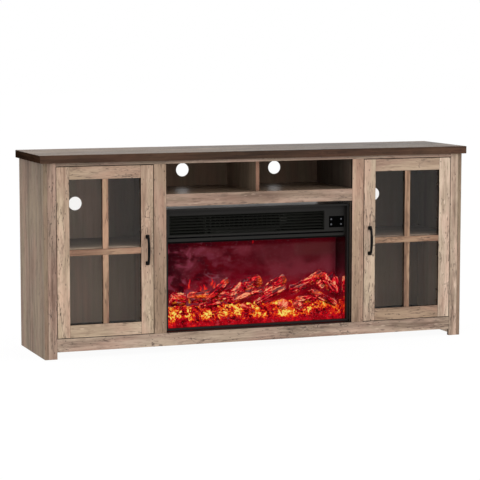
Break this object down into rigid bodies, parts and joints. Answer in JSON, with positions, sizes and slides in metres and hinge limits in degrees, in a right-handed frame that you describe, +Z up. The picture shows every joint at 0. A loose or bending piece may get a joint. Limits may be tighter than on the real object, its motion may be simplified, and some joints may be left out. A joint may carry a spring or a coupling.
{
  "type": "fireplace tv stand",
  "caption": "Low wide media cabinet with glazed end cupboards, open media bays and an electric fire insert in the middle, under a thick top.",
  "frame": {"origin": "centre of the whole footprint, door pulls included, on the floor", "axes": "+X to the right of someone facing the front, +Y towards the back, +Z up; the doors and the fire face -Y"},
  "size_m": [1.778, 0.397, 0.775],
  "materials": {
    "top_wood": "dark brown wood-grain laminate, satin",
    "side_wood": "grey-brown wood-grain laminate, matt",
    "frame_wood": "grey-tan barn-board laminate, matt",
    "rail_wood": "barn-board laminate, matt",
    "door_wood": "light tan barn-board laminate with knots and cracks, matt",
    "muntin_wood": "warm tan laminate, matt",
    "inner_wood": "dark brown laminate, matt",
    "back_board": "thin fibreboard, dark on the inner face, bare hardboard brown on the rear",
    "hinge_steel": "nickel-plated pressed steel",
    "pull_metal": "satin black",
    "insert_paint": "black powder coat",
    "insert_sheet": "dark painted sheet steel",
    "door_glass": "clear flat glass",
    "fire_glass": "lightly smoked flat glass",
    "button_plastic": "black moulded plastic",
    "panel_plastic": "semi-gloss black plastic",
    "log_resin": "cast resin logs, painted bark and lit ends",
    "ember_resin": "translucent cast resin embers lit from below",
    "screen_plastic": "translucent dark red flame screen",
    "rotor_foil": "bright sheet metal",
    "fan_plastic": "black moulded plastic"
  },
  "bodies": {
    "cabinet": {"top_board": "top_wood", "left_side_panel": "side_wood", "right_side_panel": "side_wood", "left_front_post": "frame_wood", "right_front_post": "frame_wood", "left_inner_stile": "frame_wood", "right_inner_stile": "frame_wood", "top_front_rail": "frame_wood", "shelf_front_rail": "rail_wood", "bottom_front_rail": "rail_wood", "bottom_board": "inner_wood", "left_partition": "inner_wood", "right_partition": "inner_wood", "media_shelf": "inner_wood", "media_divider": "rail_wood", "left_shelf": "inner_wood", "right_shelf": "inner_wood", "left_back_panel": "back_board", "right_back_panel": "back_board", "upper_back_panel": "back_board", "left_lower_hinge_plate": "hinge_steel", "left_upper_hinge_plate": "hinge_steel", "right_lower_hinge_plate": "hinge_steel", "right_upper_hinge_plate": "hinge_steel", "insert_case": "insert_sheet", "insert_front_frame": "insert_paint", "vent_grille": "insert_paint", "control_panel": "panel_plastic", "insert_glass": "fire_glass", "ember_bed": "ember_resin", "log_set": "log_resin", "flame_screen": "screen_plastic", "flame_motor": "rotor_foil", "heater_element": "insert_sheet", "blower_housing": "insert_sheet", "power_inlet": "button_plastic"},
    "left_door": {"left_door_hinge_stile": "door_wood", "left_door_latch_stile": "door_wood", "left_door_top_rail": "door_wood", "left_door_bottom_rail": "door_wood", "left_door_muntins": "muntin_wood", "left_door_glass": "door_glass", "left_door_pull": "pull_metal", "left_lower_hinge_cup": "hinge_steel", "left_upper_hinge_cup": "hinge_steel"},
    "right_door": {"right_door_hinge_stile": "door_wood", "right_door_latch_stile": "door_wood", "right_door_top_rail": "door_wood", "right_door_bottom_rail": "door_wood", "right_door_muntins": "muntin_wood", "right_door_glass": "door_glass", "right_door_pull": "pull_metal", "right_lower_hinge_cup": "hinge_steel", "right_upper_hinge_cup": "hinge_steel"},
    "power_key": {"power_button": "button_plastic"},
    "flame_key": {"flame_button": "button_plastic"},
    "heat_key": {"heat_button": "button_plastic"},
    "timer_key": {"timer_button": "button_plastic"},
    "blower_wheel": {"blower_impeller": "fan_plastic"},
    "flame_spindle": {"flame_rotor": "rotor_foil"}
  },
  "joints": [
    {"name": "left_door_hinge", "type": "hinge", "parent": "cabinet", "child": "left_door", "pos_m": [-0.8252, -0.1715, 0.404], "axis": [0, 0, -1], "range_deg": [0, 105]},
    {"name": "right_door_hinge", "type": "hinge", "parent": "cabinet", "child": "right_door", "pos_m": [0.8252, -0.1715, 0.404], "axis": [0, 0, 1], "range_deg": [0, 105]},
    {"name": "power_press", "type": "slide", "parent": "cabinet", "child": "power_key", "axis": [0, 1, 0], "range_m": [0, 0.001], "stiffness_N_per_m": 400, "springref_m": -0.0005},
    {"name": "flame_press", "type": "slide", "parent": "cabinet", "child": "flame_key", "axis": [0, 1, 0], "range_m": [0, 0.001], "stiffness_N_per_m": 400, "springref_m": -0.0005},
    {"name": "heat_press", "type": "slide", "parent": "cabinet", "child": "heat_key", "axis": [0, 1, 0], "range_m": [0, 0.001], "stiffness_N_per_m": 400, "springref_m": -0.0005},
    {"name": "timer_press", "type": "slide", "parent": "cabinet", "child": "timer_key", "axis": [0, 1, 0], "range_m": [0, 0.001], "stiffness_N_per_m": 400, "springref_m": -0.0005},
    {"name": "blower_spin", "type": "hinge", "parent": "cabinet", "child": "blower_wheel", "pos_m": [-0.042, -0.0395, 0.49], "axis": [1, 0, 0], "continuous": true},
    {"name": "flame_spin", "type": "hinge", "parent": "cabinet", "child": "flame_spindle", "pos_m": [-0.015, -0.0015, 0.112], "axis": [1, 0, 0], "continuous": true}
  ]
}
